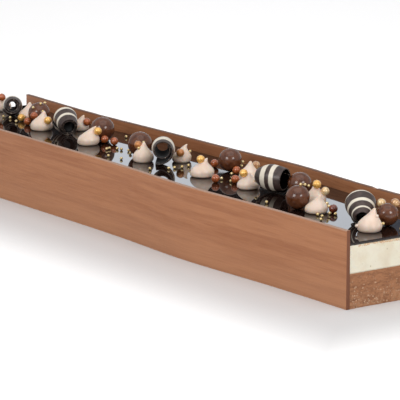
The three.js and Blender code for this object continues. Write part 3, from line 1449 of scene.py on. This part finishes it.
# Beads on the glaze, by place
GLAZE_BEADS = (
    (-215.8, 4.6), (-210, -2), (-197.7, 2.2), (-191.5, 3.5), (-178, -0.3), (-178, 33), (-173, 35),
    (-91.8, 28.8), (-66, -3.6), (-66.8, -1), (-63.2, 2.5), (-60, 3.5), (-53.8, 4.9), (-47.3, -14.9),
    (-46, 0.8), (-35.6, -13.1), (0.5, -16.5), (6.1, -6.4), (6.5, -2.4), (7.5, 2.6), (6.3, 8.3),
    (49.6, 2), (41.8, 15.2), (59.2, 2), (119.1, -16.1), (162.5, -12.1), (164.1, -4.7), (167.3, -3),
    (167.5, -12.8), (173.7, -18.5), (219, 3), (201, 21),
)


@dataclass
class CrumbRow:
    """Loose crumbs pressed into a layer's cut ends."""

    name: str
    slot: str
    finish: CrumbFinish
    low: float
    high: float
    front: float
    back: float
    count: int
    sizes: tuple[float, float]
    seed: int
    slab: Slab = SLAB
    sunk: float = 0.1
    lump: float = 0.5
    lump_rate: float = 2.3
    squash: tuple[float, float, float] = (0.5, 1.3, 0.9)

    def build(self) -> Piece:
        """Scatters copies of one crumb over both ends.

        Returns:
            The crumbs, joined.
        """
        draw = random.Random(self.seed)
        bpy.ops.mesh.primitive_ico_sphere_add(subdivisions=1, radius=1)
        mould = begin("crumb_mould")
        reshape(mould, lambda p: p * (1 + noise.noise(p * self.lump_rate) * self.lump))
        mould.data.materials.append(self.finish.make())
        flat = Matrix.Diagonal(self.squash)
        crumbs = []
        for end in (-1, 1):
            for _ in range(self.count):
                size = draw.uniform(*self.sizes) * MM
                x = end * (self.slab.layer_half - self.sunk) * MM
                y = draw.uniform(self.front, self.back) * MM
                at = Vector((x, y, draw.uniform(self.low, self.high) * MM))
                turned = Matrix.Rotation(draw.uniform(0, 6), 3, "X")
                turned = turned @ Matrix.Rotation(draw.uniform(0, 6), 3, "Z")
                crumbs.append(copy_of(mould, "crumb", lambda p: flat @ turned @ (p * size) + at))
        discard(mould)
        row = join(self.name, crumbs)
        smooth(row, 60)
        return row


CRUMB_ROWS = (
    CrumbRow(
        "tan_crumbs",
        "cream_mousse",
        CrumbFinish("tan_crumb", shade(206, 164, 120), shade(238, 214, 182)),
        low=34.7, high=35.8, front=-34, back=38, count=150, sizes=(0.3, 0.7), seed=14,
    ),
    CrumbRow(
        "brown_crumbs",
        "brown_mousse",
        CrumbFinish("brown_crumb", shade(176, 132, 100), shade(208, 172, 142)),
        low=1.0, high=13, front=-38, back=38, count=150, sizes=(0.25, 0.65), seed=41,
    ),
)


# The studio


@dataclass
class Card:
    """A rectangle that faces the cake. The camera doesn't see it, so it stands in no view's way."""

    name: str
    azimuth: float
    rise: float
    away: float
    wide: float
    tall: float
    aim: Vector = field(default_factory=lambda: Vector((0.1, 0.0, 0.03)))

    def pose(self) -> Matrix:
        """Where it stands, as seen from the cake. Azimuth 0 is at -Y and 90 at +X.

        Returns:
            Its place and turn.
        """
        turn, rise = math.radians(self.azimuth), math.radians(self.rise)
        towards = Vector(
            (math.sin(turn) * math.cos(rise), -math.cos(turn) * math.cos(rise), math.sin(rise))
        )
        facing = towards.to_track_quat("Z", "Y").to_matrix().to_4x4()
        return Matrix.Translation(self.aim + towards * self.away) @ facing


@dataclass
class SoftBox(Card):
    """A soft rectangular light."""

    watts: float = 1.0
    tint: Colour = (1.0, 1.0, 1.0)

    def build(self) -> None:
        """Adds the light."""
        light = bpy.data.lights.new(self.name, "AREA")
        light.shape = "RECTANGLE"
        light.size, light.size_y = self.wide, self.tall
        light.energy = self.watts
        light.color = self.tint
        lamp = bpy.data.objects.new(self.name, light)
        lamp.matrix_world = self.pose()
        lamp.visible_camera = False
        bpy.context.scene.collection.objects.link(lamp)


@dataclass
class DarkCard(Card):
    """A matt card that darkens what the glossy faces mirror."""

    body: Colour = shade(14, 14, 16)

    def build(self) -> None:
        """Adds the card as a part of the studio."""
        bpy.ops.mesh.primitive_plane_add(size=1)
        bpy.context.object.scale = (self.wide, self.tall, 1)
        card = begin(self.name)
        pose = self.pose()
        reshape(card, lambda p: pose @ p)
        card.data.materials.append(Graph(self.name).finish(self.body, 0.9))
        card.visible_camera = False


@dataclass
class Studio:
    """The camera, the pale floor with a painted shadow near the cake and a painted glow farther off, the
    lights and the white surround.
    """

    camera_at: tuple[float, float, float] = (1.5283, -1.0713, 0.4218)
    looking: tuple[float, float, float] = (-0.7949, 0.5684, -0.2122)
    lens: float = 279.1
    sensor: float = 36.0
    floor_size: float = 14.0
    floor_colour: Colour = (1.0, 1.0, 1.0)
    # Painted shadow: the floor's colour near the cake.
    floor_painted_shadow: Colour = (0.73, 0.72, 0.715)
    # Where the painted shadow starts to fade and where it is gone, in millimetres from the cake.
    floor_shadow_fade: tuple[float, float] = (22.0, 105.0)
    # Painted light: the floor's glow away from the cake.
    floor_painted_glow: Colour = (0.24, 0.23, 0.22)
    surround: Colour = (0.97, 0.98, 1.0)
    surround_strength: float = 0.62
    slab: Slab = SLAB

    def set_camera(self) -> None:
        """Adds the camera, at the photograph's viewing angle."""
        lens = bpy.data.cameras.new("camera")
        lens.lens = self.lens
        lens.sensor_width = self.sensor
        camera = bpy.data.objects.new("camera", lens)
        camera.location = self.camera_at
        camera.rotation_euler = Vector(self.looking).to_track_quat("-Z", "Y").to_euler()
        bpy.context.scene.collection.objects.link(camera)
        bpy.context.scene.camera = camera

    def lay_floor(self) -> None:
        """Adds the floor, painted darker near the cake as its shadow, and glowing farther off as painted
        light.
        """
        bpy.ops.mesh.primitive_plane_add(size=self.floor_size)
        floor = begin("floor")
        g = Graph("pale_floor_painted_shadow_and_glow")
        past_end = g.axis("X").size() - self.slab.half * MM
        past_side = g.axis("Y").size() - self.slab.width / 2 * MM
        away = past_end.larger(past_side)
        # Painted shadow near the cake, and a painted glow farther off.
        start, end = self.floor_shadow_fade
        far = away.rise(start * MM, end * MM)
        colour = g.mix(far, self.floor_painted_shadow, self.floor_colour)
        glow = g.mix(far, (0.0, 0.0, 0.0), self.floor_painted_glow)
        more = {"Specular IOR Level": 0.2, "Emission Color": glow, "Emission Strength": 1.0}
        floor.data.materials.append(g.finish(colour, 0.55, more=more))

    def light(self) -> None:
        """Adds the surround and the soft boxes."""
        world = bpy.data.worlds.new("surround")
        bpy.context.scene.world = world
        world.use_nodes = True
        background = world.node_tree.nodes["Background"]
        background.inputs["Color"].default_value = (*self.surround, 1.0)
        background.inputs["Strength"].default_value = self.surround_strength
        for card in (
            SoftBox("left_window", 14, 27, 1.6, 0.6, 0.5, watts=6.7),
            SoftBox("right_window", 88, 27, 1.6, 0.5, 0.4, watts=4.9),
            SoftBox("overhead", 60, 80, 1.5, 1.6, 1.6, watts=6),
            SoftBox("back_card", 234.4, 12.3, 2.0, 0.9, 0.32, watts=0.95, tint=(0.84, 0.9, 1.0)),
            DarkCard("left_flag", 246.4, 12.5, 1.94, 0.5, 0.25),
            DarkCard("middle_flag", 234.0, 13.7, 1.94, 0.11, 0.145),
            DarkCard("right_flag", 221.6, 12.5, 1.94, 0.51, 0.25, body=shade(104, 110, 122)),
        ):
            card.build()
        bpy.context.scene.view_settings.view_transform = "Standard"

    def build(self) -> None:
        """Sets the whole studio up."""
        self.set_camera()
        self.lay_floor()
        self.light()


class Cake:
    """The whole cake, built in order."""

    def __init__(self, slab: Slab = SLAB) -> None:
        """Casts the moulds.

        Args:
            slab: the driving sizes.
        """
        self.slab = slab
        self.moulds = Moulds()
        self.moulds.cast()

    def build_slab(self) -> None:
        """The layers, the plates and the crumbs."""
        slab = self.slab
        brown = Layer("brown_layer", slab.brown_foot, slab.brown_top, cell=0.5, relief=brown_relief)
        cream = Layer("cream_layer", slab.brown_top, slab.cream_top, cell=0.6, relief=cream_relief)
        hand_over(brown.build(BrownFinish().make()), "brown_mousse", "brown_mousse")
        hand_over(cream.build(CreamFinish().make()), "cream_mousse", "cream_mousse")
        front = Plate("front_plate", slab.front, inwards=1)
        # The front plate's top edge is painted paler, as a highlight.
        highlight_edged = PlateFinish("milk_chocolate_painted_edge_highlight", edge=shade(170, 140, 122))
        hand_over(front.build(highlight_edged.make()), "plate", "plate_front")
        chips = (Chip(at=148, long=3.2, deep=0.7), Chip(at=173, long=2.2, deep=0.6))
        back = Plate("back_plate", slab.back, inwards=-1, chips=chips)
        # The back plate's top edge is painted darker, as shade.
        shade_edged = PlateFinish("milk_chocolate_painted_edge_shade", edge=shade(96, 74, 62))
        hand_over(back.build(shade_edged.make()), "plate", "plate_back")
        for row in CRUMB_ROWS:
            hand_over(row.build(), row.slot)

    def build_glaze(self) -> None:
        """The glaze, and the pearls and beads that lie on it."""
        slab = self.slab
        glaze = Layer("glaze", slab.cream_top, slab.glaze_top, cell=0.25, relief=glaze_relief)
        hand_over(glaze.build(GlazeFinish().make()), "dark_glaze", "dark_glaze")
        pearls = [self.moulds.lay(shell, x, y) for shell, x, y in GLAZE_PEARLS]
        hand_over(join("glaze_pearls", pearls), "dark_glaze", "dark_glaze")
        beads = [self.moulds.lay(Shell.BEAD, x, y) for x, y in GLAZE_BEADS]
        hand_over(join("glaze_beads", beads), "dark_glaze", "dark_glaze")

    def build_toppings(self) -> None:
        """The balls, kisses and curls."""
        chocolate = BallFinish().make()
        for number, ball in enumerate(BALLS, 1):
            piece = ball.build(f"chocolate_ball_{number}", chocolate, self.moulds)
            hand_over(piece, "ball", f"ball_{number}")
        cream = KissFinish().make()
        for number, kiss in enumerate(KISSES, 1):
            piece = kiss.build(f"piped_kiss_{number}", cream, self.moulds)
            hand_over(piece, "kiss", f"kiss_{number}")
        # The inner faces are painted nearly black, as the shade inside each roll.
        inside, edge = CurlInsideShadeFinish().make(), CurlEdgeFinish().make()
        for number, curl in enumerate(CURLS, 1):
            piece = curl.build(f"striped_curl_{number}", inside, edge)
            hand_over(piece, "curl", f"curl_{number}")

    def clear_bench(self) -> None:
        """Removes the moulds."""
        discard(self.moulds.pearl, self.moulds.bead)


def main() -> None:
    """Builds the studio and the cake."""
    logging.basicConfig(level=logging.INFO, format="%(name)s: %(message)s")
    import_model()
    Studio().build()
    cake = Cake()
    cake.build_slab()
    cake.build_glaze()
    cake.build_toppings()
    cake.clear_bench()


if __name__ == "__main__":
    main()
